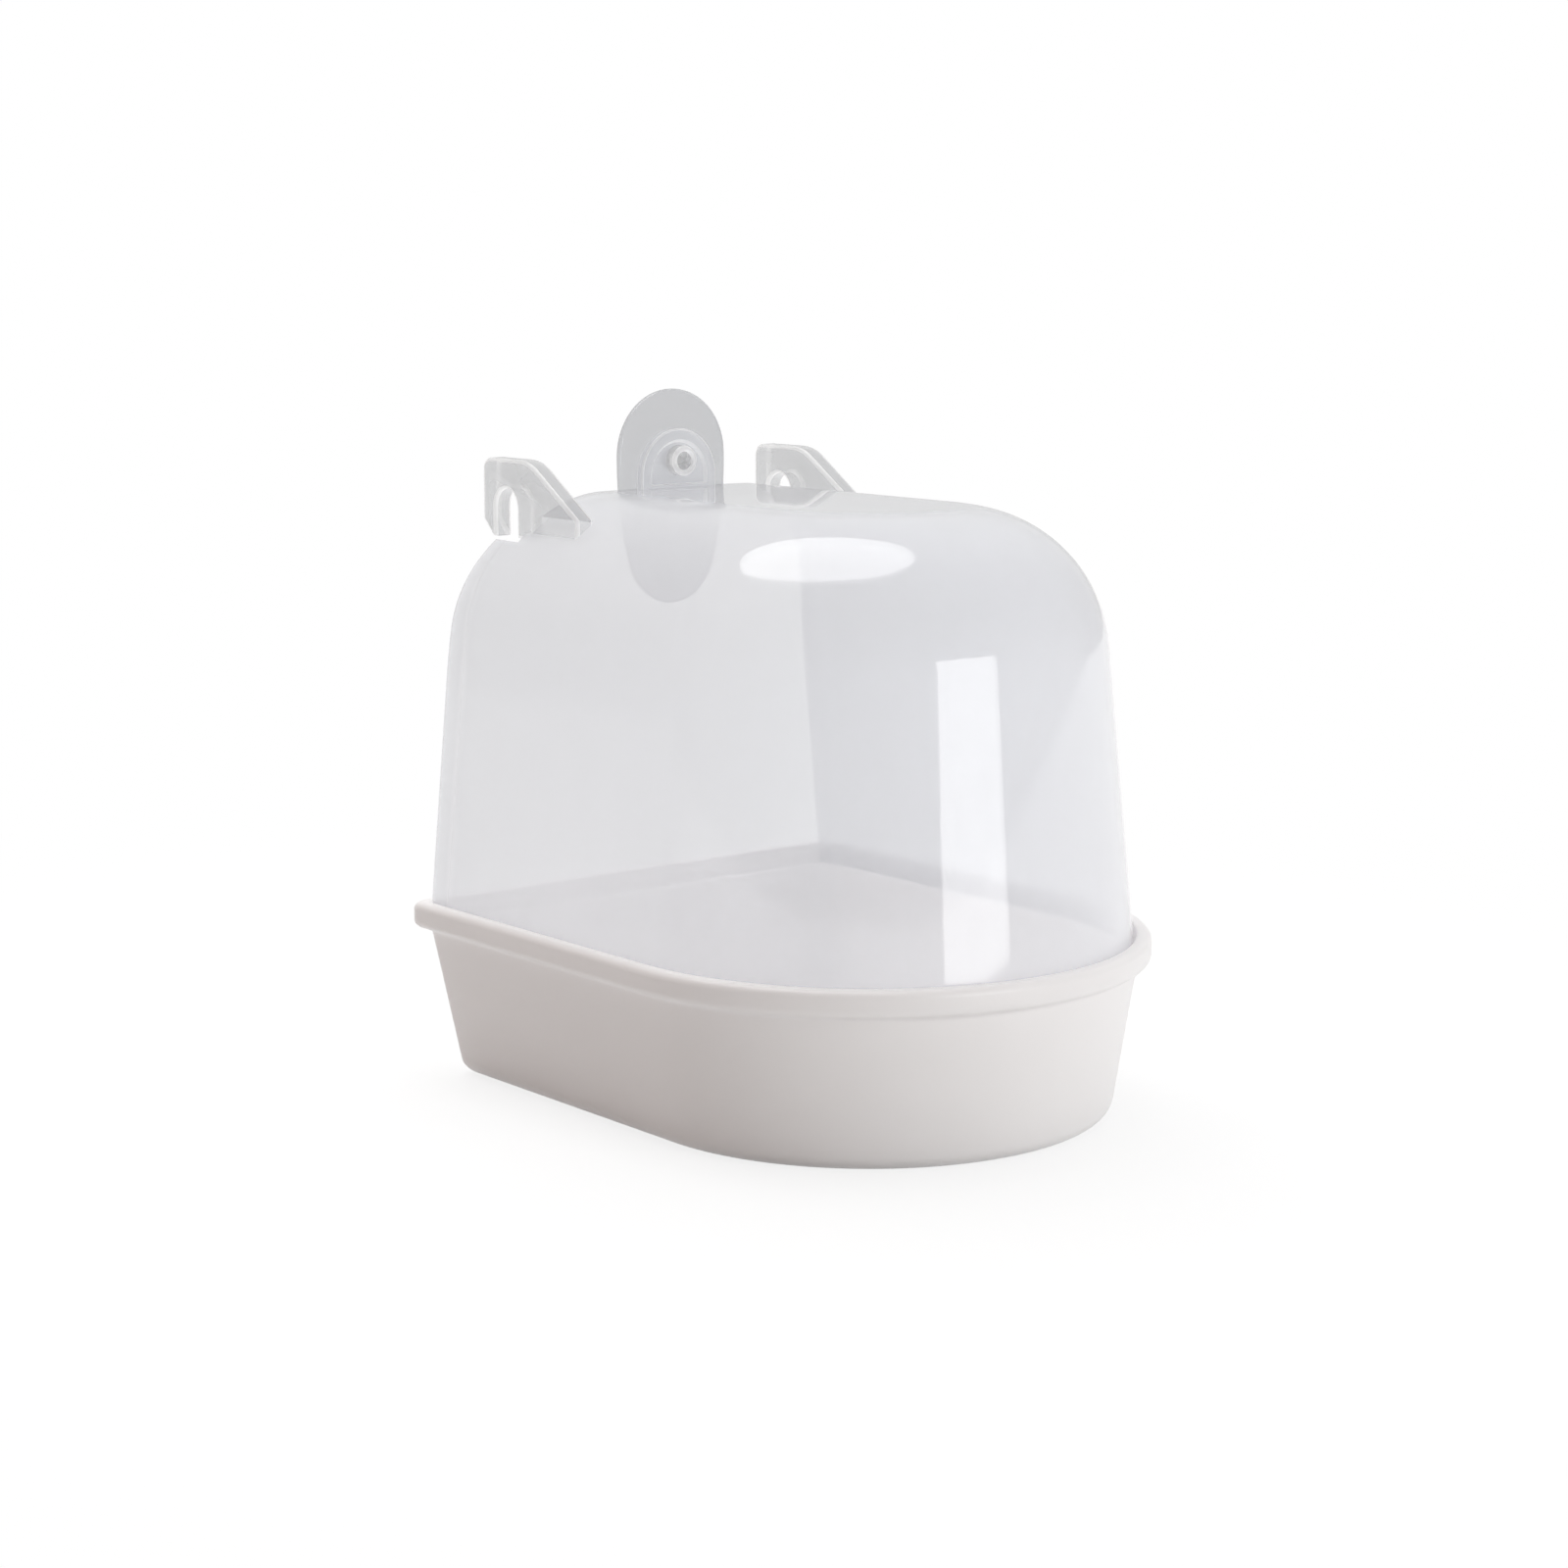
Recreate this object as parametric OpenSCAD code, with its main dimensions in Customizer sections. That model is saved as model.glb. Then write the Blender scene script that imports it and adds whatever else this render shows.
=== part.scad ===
// Clip-on bath for a bird cage: a white D-shaped tub, a clear hood that stands in the tub's lip,
// hooks for a cage wire and an oval plate that turns on a stud.
// Millimetres. X is the width, +Y points into the cage, Z is up.
// The origin is under the middle of the tub, on the surface that it stands on.

/* [Tub] */
// Width over the tub's lip
rim_w = 138; // [125:1:160]
// Depth over the tub's lip
rim_d = 165.8; // [150:0.2:190]
// Height of the lip's top
tub_h = 44; // [36:0.5:60]
// Thickness of the lip, in plan
lip_w = 3.7; // [3.4:0.1:5]
// Height of the lip's bead
lip_h = 6.5; // [5:0.1:9]
// Rounding of the bead's outer edges
bead_r = 1.9; // [1:0.1:2.2]
// Radius of the cove under the bead
cove_r = 1.6; // [0.8:0.1:2]
// How far the hood's seat lies below the lip's top
seat_depth = 5.5; // [3:0.1:6]
// Lean of the tub's wall, degrees
tub_draft = 8.9; // [4:0.1:12]
// Thickness of the tub's wall
tub_wall = 3; // [2.8:0.1:4]
// Thickness of the tub's floor
tub_floor = 2.4; // [1.6:0.1:4]
// Rounding of the tub's bottom edge
foot_r = 4.5; // [3:0.5:8]
// Rounding of the lip's back corners, in plan
corner_r = 5; // [3:0.5:8]

/* [Hood] */
// Height of the hood's top above the lip
hood_h = 101.8; // [85:0.2:115]
// Thickness of the hood's wall
hood_wall = 1.5; // [1.2:0.1:1.8]
// Lean of the hood's wall, degrees
hood_draft = 5.6; // [2:0.1:7]
// Radius of the hood's shoulder
shoulder_r = 36; // [28:1:40]
// Room between the hood's wall and the lip
hood_gap = 0.3; // [0.2:0.05:0.6]
// Room between the hood's edge and its seat
seat_gap = 0.2; // [0.1:0.05:0.5]
// How far the cheeks reach behind the hood's top
cheek_len = 17.2; // [14:0.1:20]
// Length of the stepped edge that enters the cage's doorway
neck_len = 7.6; // [5:0.1:10]
// Step from the hood's wall down to that edge
neck_step = 0.6; // [0.4:0.1:1]
// Height of the cheeks above the lip
cheek_h = 90.5; // [70:0.5:92]
// Radius of the cheeks' upper back edge, in side view
cheek_r = 78; // [50:1:90]
// Height over which the cheeks' edge curves forward
cheek_bend = 31.5; // [15:0.5:34]

/* [Hooks] */
// Distance between the middles of the hooks
hook_pitch = 86.8; // [80:0.2:92]
// Thickness of a hook
hook_t = 5; // [4:0.1:7]
// Height of a hook above the hood's top
hook_h = 8.6; // [7:0.1:14]
// How far a hook's back edge lies in front of the lip's back
hook_back = 2.8; // [1:0.1:4]
// Width of the slot for the cage wire
slot_w = 9.4; // [6:0.1:10]
// Thickness of the finger behind the slot
finger_t = 5.4; // [4:0.1:6]
// Height of the slot's top above the hood's top
slot_rise = 1.2; // [0:0.1:4]
// Depth of the slot
slot_depth = 12; // [9:0.1:12.5]
// Length of a hook, from its back edge to its toe
hook_len = 40.4; // [36:0.2:46]
// Length of the hook's flat top
hook_top_len = 19.8; // [16:0.2:24]
// Slope of the hook's front edge, degrees
hook_slope = 33; // [28:1:45]
// Rounding of the hook's top back corner
hook_r = 2.5; // [1:0.1:4]
// Taper at the finger's tip
tip_taper = 4; // [1:0.1:4.5]

/* [Lug] */
// Width of the upright lug
lug_w = 23.6; // [20:0.1:28]
// Height of the lug above the hood's top
lug_h = 15; // [14.5:0.1:20]
// Thickness of the lug
lug_t = 2.5; // [2:0.1:4]
// Width of the border round the lug's sunk panel
lug_border = 3.6; // [2:0.1:4.5]
// Depth of the lug's sunk panel
lug_panel = 0.8; // [0.4:0.1:1.2]

/* [Latch] */
// Height of the pivot above the hood's top
pivot_rise = 6.9; // [6:0.1:7.5]
// Length of the oval plate
plate_l = 54.5; // [50:0.1:57]
// Radius of the oval's wide upper end
plate_top_r = 16.7; // [15.5:0.1:18]
// Radius of the oval's lower end
plate_end_r = 13.2; // [11:0.1:14.5]
// Radius of the oval's sides
plate_side_r = 90; // [70:1:150]
// Thickness of the oval plate
plate_t = 1.6; // [1.2:0.1:3]
// How far the pivot lies above the oval's middle
pivot_offset = 9.3; // [0:0.1:10]
// Room between the lug and the plate
plate_gap = 0.3; // [0.2:0.05:0.6]
// Diameter of the stud's shank
pin_d = 5; // [4:0.1:6]
// Diameter of the stud's head
head_d = 7.8; // [7:0.1:10]
// Height of the stud's head
head_t = 3.4; // [2:0.1:4.5]
// How much the head narrows to its front, all round
head_edge = 0.5; // [0.2:0.1:1]
// Width of the cross cut in the head
split_w = 0.9; // [0.5:0.1:1.2]
// Depth of the cross cut
split_depth = 1.8; // [0.6:0.1:1.9]
// Room round the stud's shank and behind its head
pin_gap = 0.05; // [0.02:0.01:0.08]

/* [Hidden] */
$fn = 128;

// A cut's overshoot, a length beyond every edge, and the slight angle at which roundings meet flats
cut = 1;
far = 400;
blend_a = 4;

// Plan: a half-round front, then parallel sides to the back
half_w = rim_w / 2;
back_y = rim_d / 2;
nose_y = half_w - back_y;

// Heights
seat_z = tub_h - seat_depth;
bead_z = tub_h - lip_h;
cove_z = bead_z - cove_r;
skirt_z = seat_z + seat_gap;
hood_z = tub_h + hood_h;
cheek_z = tub_h + cheek_h;

// Insets from the outermost line of the lip
wall_in = bead_r + cove_r;
skirt_in = lip_w + hood_gap;

// The hood's back edge, where its step begins, and where its top ends
neck_y = back_y - skirt_in;
step_y = neck_y - neck_len;
face_y = neck_y - cheek_len;

// Hooks, in the plane of Y and Z
hook_z = hood_z + hook_h;
hook_y = back_y - hook_back;
slot_far_y = hook_y - finger_t;
slot_near_y = slot_far_y - slot_w;
slot_z = hood_z + slot_rise;
tip_z = slot_z - slot_depth;
hook_foot_z = tip_z - 3;

// Lug, plate and stud
lug_y = face_y - lug_t;
lug_z = hood_z + lug_h;
panel_y = lug_y + lug_panel;
pivot_z = hood_z + pivot_rise;
plate_y = face_y + plate_gap;
plate_mid_z = pivot_z - pivot_offset;
head_y = panel_y - pin_gap;

// Sections are drawn as inset and height, and are filled inwards.
// A section laid out from a middle line, cut off at it
module from_middle() {
  intersection() {
    translate([half_w, 0]) mirror([1, 0]) children();
    translate([0, -far]) square([far, 2 * far]);
  }
}

// A section on both sides, along Y
module straight_run(y_start, y_end) {
  translate([0, y_end, 0]) rotate([90, 0, 0]) linear_extrude(y_end - y_start)
    for (m = [0, 1]) mirror([m, 0]) from_middle() children();
}

// A section carried round the front and along both sides
module round_front(y_end) {
  translate([0, nose_y, 0]) rotate([0, 0, 180]) rotate_extrude(angle = 180) from_middle() children();
  straight_run(nose_y, y_end) children();
}

// A solid that the same section closes at the back
module d_solid() {
  intersection() {
    round_front(back_y) children();
    translate([-rim_w, back_y, 0]) rotate([90, 0, 90]) linear_extrude(2 * rim_w) mirror([1, 0]) children();
  }
}

// A region whose side leans out upwards, with a rounded corner at its foot
module foot_section(inset, z0, z1, r, lean) {
  reach = r * cos(blend_a);
  mid_z = z0 + reach;
  mid_in = inset - reach * tan(lean) + reach / cos(lean);
  intersection() {
    polygon([[inset, z0], [far, z0], [far, z1], [inset - (z1 - z0) * tan(lean), z1]]);
    union() {
      translate([mid_in, mid_z]) circle(r);
      translate([mid_in, z0 - cut]) square([far, far]);
      translate([-far, mid_z - r * sin(lean)]) square([2 * far, far]);
    }
  }
}

// A region whose side leans in upwards, with a rounded shoulder
module shoulder_section(inset, z0, z1, r, lean) {
  reach = r * cos(blend_a);
  mid_z = z1 - reach;
  mid_in = inset + (mid_z - z0) * tan(lean) + reach / cos(lean);
  intersection() {
    polygon([[inset, z0], [inset + (z1 - z0) * tan(lean), z1], [far, z1], [far, z0]]);
    union() {
      translate([mid_in, mid_z]) circle(r);
      translate([mid_in, z0 - cut]) square([far, far]);
      translate([-far, z0 - cut]) square([2 * far, mid_z + r * sin(lean) - z0 + cut]);
    }
  }
}

module tub_outside() {
  foot_section(wall_in + cove_z * tan(tub_draft), 0, seat_z, foot_r, tub_draft);
}

module tub_inside() {
  inset = wall_in + (cove_z - tub_floor) * tan(tub_draft) + tub_wall;
  foot_section(inset, tub_floor, seat_z + cut, foot_r, tub_draft);
}

// The wall with its lip: a bead with rounded edges and a cove under it
module rim_section() {
  tub_outside();
  translate([bead_r, bead_z]) square([far, lip_h]);
  translate([0, bead_z + bead_r]) square([far, lip_h - 2 * bead_r]);
  for (z = [bead_z + bead_r, tub_h - bead_r]) translate([bead_r, z]) circle(bead_r);
  difference() {
    translate([bead_r, cove_z]) square([cove_r + cut, cove_r + cut]);
    translate([bead_r, cove_z]) circle(cove_r);
  }
}

// The step inside the lip that the hood stands on
module seat_section() {
  translate([lip_w, seat_z]) square([far, lip_h]);
}

// What comes off the back corners
module corner_cuts() {
  for (m = [0, 1])
    mirror([m, 0, 0]) translate([half_w - corner_r, back_y - corner_r, -cut])
      difference() {
        cube([corner_r + cut, corner_r + cut, tub_h + 2 * cut]);
        cylinder(r = corner_r, h = tub_h + 2 * cut);
      }
}

module tub() {
  color("whitesmoke")
    difference() {
      d_solid() rim_section();
      d_solid() tub_inside();
      d_solid() seat_section();
      corner_cuts();
    }
}

module hood_outside() {
  shoulder_section(skirt_in, skirt_z, hood_z, shoulder_r, hood_draft);
}

module hood_inside() {
  inset = skirt_in + hood_wall / cos(hood_draft) - cut * tan(hood_draft);
  shoulder_section(inset, skirt_z - cut, hood_z - hood_wall, shoulder_r - hood_wall, hood_draft);
}

// Side view of what the hood covers behind its top, as Y and Z
module cheek_outline() {
  bend_z = cheek_z - cheek_bend;
  intersection() {
    translate([0, skirt_z]) square([neck_y, cheek_z - skirt_z]);
    union() {
      translate([0, skirt_z - cut]) square([far, bend_z - skirt_z + cut]);
      translate([neck_y - cheek_r * cos(blend_a), bend_z]) circle(cheek_r);
    }
  }
}

// A drawing of Y and Z, carried across the whole width
module across() {
  translate([-rim_w, 0, 0]) rotate([90, 0, 90]) linear_extrude(2 * rim_w) children();
}

// The hood's shell: its top ends at the lug, and its cheeks go on to the step
module hood_shell() {
  difference() {
    round_front(step_y) hood_outside();
    round_front(step_y + cut) hood_inside();
    across()
      difference() {
        translate([face_y, 0]) square([far, far]);
        cheek_outline();
      }
  }
}

// The back edge of the cheeks: the same section one step smaller
module neck() {
  intersection() {
    difference() {
      straight_run(step_y - 2 * hood_wall, back_y) translate([neck_step, -neck_step]) hood_outside();
      straight_run(nose_y, back_y + cut) translate([neck_step, -neck_step]) hood_inside();
    }
    across() cheek_outline();
  }
}

// Side view of a hook, as Y and Z
module hook_outline() {
  top_y = hook_y - hook_top_len;
  difference() {
    union() {
      intersection() {
        polygon([
          [hook_y - tip_taper, tip_z],
          [hook_y, tip_z + tip_taper],
          [hook_y, hook_z - hook_r],
          [hook_y - hook_r, hook_z],
          [top_y, hook_z],
          [top_y - (hook_z - hook_foot_z) / tan(hook_slope), hook_foot_z],
          [face_y, hook_foot_z],
          [face_y, tip_z]
        ]);
        translate([hook_y - hook_len, 0]) square([far, far]);
      }
      translate([hook_y - hook_r, hook_z - hook_r]) circle(hook_r);
    }
    translate([slot_near_y + slot_w / 2, slot_z - slot_w / 2]) circle(slot_w / 2);
    translate([slot_near_y, tip_z - far]) square([slot_w, far + slot_depth - slot_w / 2]);
  }
}

// Both hooks, trimmed to the inside of the hood
module hooks() {
  difference() {
    for (s = [-1, 1])
      translate([s * hook_pitch / 2 - hook_t / 2, 0, 0]) rotate([90, 0, 90]) linear_extrude(hook_t)
        hook_outline();
    round_front(face_y) hood_inside();
  }
}

// An upright arch that stands in the hood's top
module arch(w, top_z, foot_z) {
  translate([-w / 2, foot_z]) square([w, top_z - w / 2 - foot_z]);
  translate([0, top_z - w / 2]) circle(w / 2);
}

// Places a drawing of X and Z so that it runs from y over a thickness
module upright(y, t) {
  translate([0, y + t, 0]) rotate([90, 0, 0]) linear_extrude(t) children();
}

// A round bar along Y at the pivot
module pivot_bar(d, y, t) {
  translate([0, y + t, pivot_z]) rotate([90, 0, 0]) cylinder(d = d, h = t);
}

module lug() {
  difference() {
    upright(lug_y, lug_t) arch(lug_w, lug_z, hood_z - hood_wall / 2);
    upright(lug_y - cut, lug_panel + cut) arch(lug_w - 2 * lug_border, lug_z - lug_border, hood_z + cut);
    pivot_bar(pin_d + 2 * pin_gap, lug_y - cut, lug_t + 2 * cut);
  }
}

module hood() {
  color("gainsboro", 0.4) {
    hood_shell();
    neck();
    hooks();
    lug();
  }
}

// Distance between the middle of a side arc and the middle of an end arc, which meet at the blend angle
function side_to_end(r) = sqrt(pow(plate_side_r, 2) + pow(r, 2) - 2 * plate_side_r * r * cos(blend_a));

// The plate is an egg-shaped oval of four arcs: a wide upper end, a lower end and two sides
module oval() {
  top_z = plate_l / 2 - plate_top_r;
  low_z = plate_end_r - plate_l / 2;
  to_top = side_to_end(plate_top_r);
  to_low = side_to_end(plate_end_r);
  side_z = (top_z + low_z) / 2 + (pow(to_low, 2) - pow(to_top, 2)) / (2 * (top_z - low_z));
  side_x = sqrt(pow(to_top, 2) - pow(top_z - side_z, 2));
  join_top = side_z + plate_side_r * (top_z - side_z) / to_top;
  join_low = side_z + plate_side_r * (low_z - side_z) / to_low;
  intersection() {
    translate([-side_x, side_z]) circle(plate_side_r);
    translate([side_x, side_z]) circle(plate_side_r);
    translate([-far, join_low]) square([2 * far, join_top - join_low]);
  }
  translate([0, top_z]) circle(plate_top_r);
  translate([0, low_z]) circle(plate_end_r);
}

module latch_plate() {
  color("gainsboro", 0.6)
    difference() {
      upright(plate_y, plate_t) translate([0, plate_mid_z]) oval();
      pivot_bar(pin_d, plate_y - cut, plate_t + 2 * cut);
    }
}

// Snap stud: a cross-split head in front of the lug and a shank that ends flush with the plate
module latch_pin() {
  color("white", 0.8) {
    pivot_bar(pin_d, head_y - cut / 2, plate_y + plate_t - head_y + cut / 2);
    translate([0, head_y, pivot_z]) rotate([90, 0, 0])
      difference() {
        cylinder(d1 = head_d, d2 = head_d - 2 * head_edge, h = head_t);
        for (a = [0, 90])
          rotate([0, 0, a]) translate([-head_d, -split_w / 2, head_t - split_depth])
            cube([2 * head_d, split_w, split_depth + cut]);
      }
  }
}

tub();
hood();
latch_plate();
latch_pin();
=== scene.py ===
# Looks of a clip-on bath for a bird cage: a white tub, a clear hood and an oval plate on a stud

import math

import bmesh
import bpy
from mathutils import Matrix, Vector


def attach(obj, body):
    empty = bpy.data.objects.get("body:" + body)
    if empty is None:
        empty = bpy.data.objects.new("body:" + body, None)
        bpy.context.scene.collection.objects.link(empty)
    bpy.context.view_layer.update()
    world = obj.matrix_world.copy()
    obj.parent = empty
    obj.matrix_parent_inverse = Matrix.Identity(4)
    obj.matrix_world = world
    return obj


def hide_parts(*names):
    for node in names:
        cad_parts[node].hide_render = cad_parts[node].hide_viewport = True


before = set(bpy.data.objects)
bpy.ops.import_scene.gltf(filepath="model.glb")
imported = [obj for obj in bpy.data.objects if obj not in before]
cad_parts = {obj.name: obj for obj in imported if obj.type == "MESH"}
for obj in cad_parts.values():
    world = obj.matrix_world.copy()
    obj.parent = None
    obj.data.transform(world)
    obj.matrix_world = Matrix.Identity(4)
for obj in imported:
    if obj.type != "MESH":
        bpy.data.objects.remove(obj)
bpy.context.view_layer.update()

# Sizes in metres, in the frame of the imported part
MM = 0.001
HALF_W = 69 * MM
BACK_Y = 82.9 * MM
NOSE_Y = HALF_W - BACK_Y

TUB_H = 44 * MM
LIP_W = 3.7 * MM
LIP_H = 6.5 * MM
LIP_EDGE_R = 0.6 * MM
BEAD_R = 1.9 * MM
COVE_R = 1.6 * MM
SEAT_Z = TUB_H - 5.5 * MM
BEAD_Z = TUB_H - LIP_H
COVE_Z = BEAD_Z - COVE_R
TUB_LEAN = math.radians(8.9)
TUB_WALL = 3 * MM
TUB_FLOOR = 2.4 * MM
FOOT_R = 4.5 * MM
LIP_CORNER_R = 5 * MM
FLOOR_CORNER_R = 2.5 * MM
TUB_INSIDE = (0, 0, TUB_FLOOR / 2)

HOOD_Z = TUB_H + 101.8 * MM
HOOD_WALL = 1.5 * MM
HOOD_LEAN = math.radians(5.6)
HOOD_RIM = 0.35 * MM
SHOULDER_R = 36 * MM
SKIRT_IN = 4 * MM
SKIRT_Z = SEAT_Z + 0.2 * MM
TOP_CROWN = 0.1 * MM
NECK_Y = BACK_Y - SKIRT_IN
STEP_Y = NECK_Y - 7.6 * MM
STEP_HALF = 0.8 * MM
FACE_Y = NECK_Y - 17.2 * MM
NECK_STEP = 0.6 * MM
CHEEK_Z = TUB_H + 90.5 * MM
CHEEK_R = 78 * MM
CHEEK_BEND_Z = CHEEK_Z - 31.5 * MM
CHEEK_CLEAR = 0.3 * MM
HOOD_INSIDE = (0, 20 * MM, 60 * MM)
ROOM_FRONT_Y = -10 * MM
ROOM_BACK_Y = FACE_Y - 0.05 * MM

HOOK_X = 43.4 * MM
HOOK_T = 5 * MM
HOOK_Z = HOOD_Z + 8.6 * MM
HOOK_Y = BACK_Y - 2.8 * MM
HOOK_TOE_Y = HOOK_Y - 40.4 * MM
HOOK_TOP_Y = HOOK_Y - 19.8 * MM
HOOK_SLOPE = math.radians(33)
HOOK_BACK_R = 3 * MM
HOOK_BROW_R = 14 * MM
HOOK_EDGE = 0.9 * MM
SLOT_W = 9.4 * MM
SLOT_FAR_Y = HOOK_Y - 5.4 * MM
SLOT_Z = HOOD_Z + 1.2 * MM
TIP_Z = SLOT_Z - 12 * MM
TIP_TAPER = 4 * MM
TIP_ROOT = 0.5 * MM

LUG_W = 23.6 * MM
LUG_Z = HOOD_Z + 15 * MM
LUG_Y = FACE_Y - 2.5 * MM
LUG_BACK_Y = FACE_Y - 0.02 * MM
LUG_SINK = 0.7 * MM
LUG_EDGE = 0.5 * MM
LUG_BORDER = 3.6 * MM
LUG_PANEL = 0.8 * MM
PANEL_FRONT_Y = LUG_Y - 0.2 * MM
PANEL_RISE = 1 * MM
PANEL_SPREAD = 1.12
PIVOT_Z = HOOD_Z + 6.9 * MM
PIN_R = 2.5 * MM
PIN_ROOM = 0.05 * MM
PRESS_ROOM = 0.02 * MM
BORE_PAST = 2 * MM

PLATE_Y = FACE_Y + 0.3 * MM
PLATE_T = 1.6 * MM
PLATE_L = 54.5 * MM
PLATE_TOP_R = 16.7 * MM
PLATE_END_R = 13.2 * MM
PLATE_SIDE_R = 90 * MM
PLATE_MID_Z = PIVOT_Z - 9.3 * MM
PLATE_EDGE = 0.45 * MM

HEAD_Y = LUG_Y + LUG_PANEL - PIN_ROOM
HEAD_T = 3.4 * MM
HEAD_R = 3.9 * MM
HEAD_FRONT = HEAD_Y - HEAD_T
DISH_Y = HEAD_FRONT + 0.9 * MM
DISH_R = 1.9 * MM
DISH_RIM_R = 2.2 * MM
DISH_RIM_Y = HEAD_FRONT + 0.8 * MM
HEAD_EDGE_R = 0.2 * MM
HEAD_EDGE_Y = 0.3 * MM
RING_R = 0.75 * MM
RING_MID_R = 3.05 * MM
PIN_END = PLATE_Y + PLATE_T
PIN_CHAMFER = 0.3 * MM
SPLIT_HALF = 0.45 * MM
SPLIT_REACH = 2 * MM
SPLIT_DEPTH = 1.8 * MM
SPLIT_TURNS = (35, 125)

# Points nearer than this are one point, along a wall and where a cheek meets it
SAME_POINT = 2e-6
SAME_SEAM = 4e-6

# Steps of the curves and of the runs between them
TUB_NOSE_STEPS = 96
HOOD_NOSE_STEPS = 120
TUB_SIDE_STEPS = 12
TUB_CORNER_STEPS = 8
TUB_BACK_STEPS = 12
HOOD_SIDE_STEPS = 18
HOOD_TOP_STEPS = 10
RING_STEPS = 12
STUD_STEPS = 48
EDGE_STEPS = 3

WHITE = (1, 1, 1, 1)


class Wire:
    """A socket in a node tree. Sums of wires and numbers add Math nodes to the tree."""

    def __init__(self, tree, socket=None):
        self.tree = tree
        self.socket = socket

    def add(self, kind, settings=None, values=None, out=0):
        """Adds a node: its settings first, then the values or links of its sockets."""
        node = self.tree.nodes.new(kind)
        for name, setting in (settings or {}).items():
            setattr(node, name, setting)
        for key, value in (values or {}).items():
            if isinstance(value, Wire):
                self.tree.links.new(value.socket, node.inputs[key])
            else:
                node.inputs[key].default_value = value
        return Wire(self.tree, node.outputs[out] if node.outputs else None)

    def other(self, out):
        """Another output of the same node."""
        return Wire(self.tree, self.socket.node.outputs[out])

    def sum(self, operation, a, b):
        return self.add("ShaderNodeMath", {"operation": operation}, {0: a, 1: b})

    def __add__(self, b):
        return self.sum("ADD", self, b)

    def __radd__(self, a):
        return self.sum("ADD", a, self)

    def __sub__(self, b):
        return self.sum("SUBTRACT", self, b)

    def __rsub__(self, a):
        return self.sum("SUBTRACT", a, self)

    def __mul__(self, b):
        return self.sum("MULTIPLY", self, b)

    def __rmul__(self, a):
        return self.sum("MULTIPLY", a, self)

    def __truediv__(self, b):
        return self.sum("DIVIDE", self, b)

    def __pow__(self, b):
        return self.sum("POWER", self, b)

    def __mod__(self, b):
        return self.sum("FLOORED_MODULO", self, b)

    def floor(self):
        return self.sum("FLOOR", self, 0.0)


# Drawing helpers
def arc(u, v, r, start, end, steps):
    """Points of an arc, angles in degrees, both ends included."""
    turn = [math.radians(start + (end - start) * k / steps) for k in range(steps + 1)]
    return [(u + r * math.cos(a), v + r * math.sin(a)) for a in turn]


def line(a, b, steps):
    """Points from a up to b, without b."""
    return [(a[0] + (b[0] - a[0]) * k / steps, a[1] + (b[1] - a[1]) * k / steps) for k in range(steps)]


def between_x(left, right):
    """Places an outline drawn as (y, z) on two sides of a slab."""
    return lambda y, z, side: ((left, right)[side], y, z)


def between_y(front, back):
    """Places an outline drawn as (x, z) on the front and the back of a slab."""
    return lambda x, z, side: (x, (front, back)[side], z)


def plain_points(name, verts, faces=()):
    mesh = bpy.data.meshes.new(name)
    mesh.from_pydata(verts, [], faces)
    mesh.validate()
    return mesh


def as_object(name, mesh):
    made = bpy.data.objects.new(name, mesh)
    bpy.context.scene.collection.objects.link(made)
    return made


def apply_modifiers(made):
    """Puts the mesh that an object's modifiers give in place of them."""
    bpy.context.view_layer.update()
    seen = made.evaluated_get(bpy.context.evaluated_depsgraph_get())
    mesh = bpy.data.meshes.new_from_object(seen)
    made.modifiers.clear()
    old = made.data
    made.data = mesh
    bpy.data.meshes.remove(old)


def discard(*helpers):
    for helper in helpers:
        mesh = helper.data
        bpy.data.objects.remove(helper)
        bpy.data.meshes.remove(mesh)


def shade(mesh, angle):
    """Smooth faces, with sharp edges above an angle in degrees."""
    mesh.shade_smooth()
    mesh.set_sharp_from_angle(angle=math.radians(angle))


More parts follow.
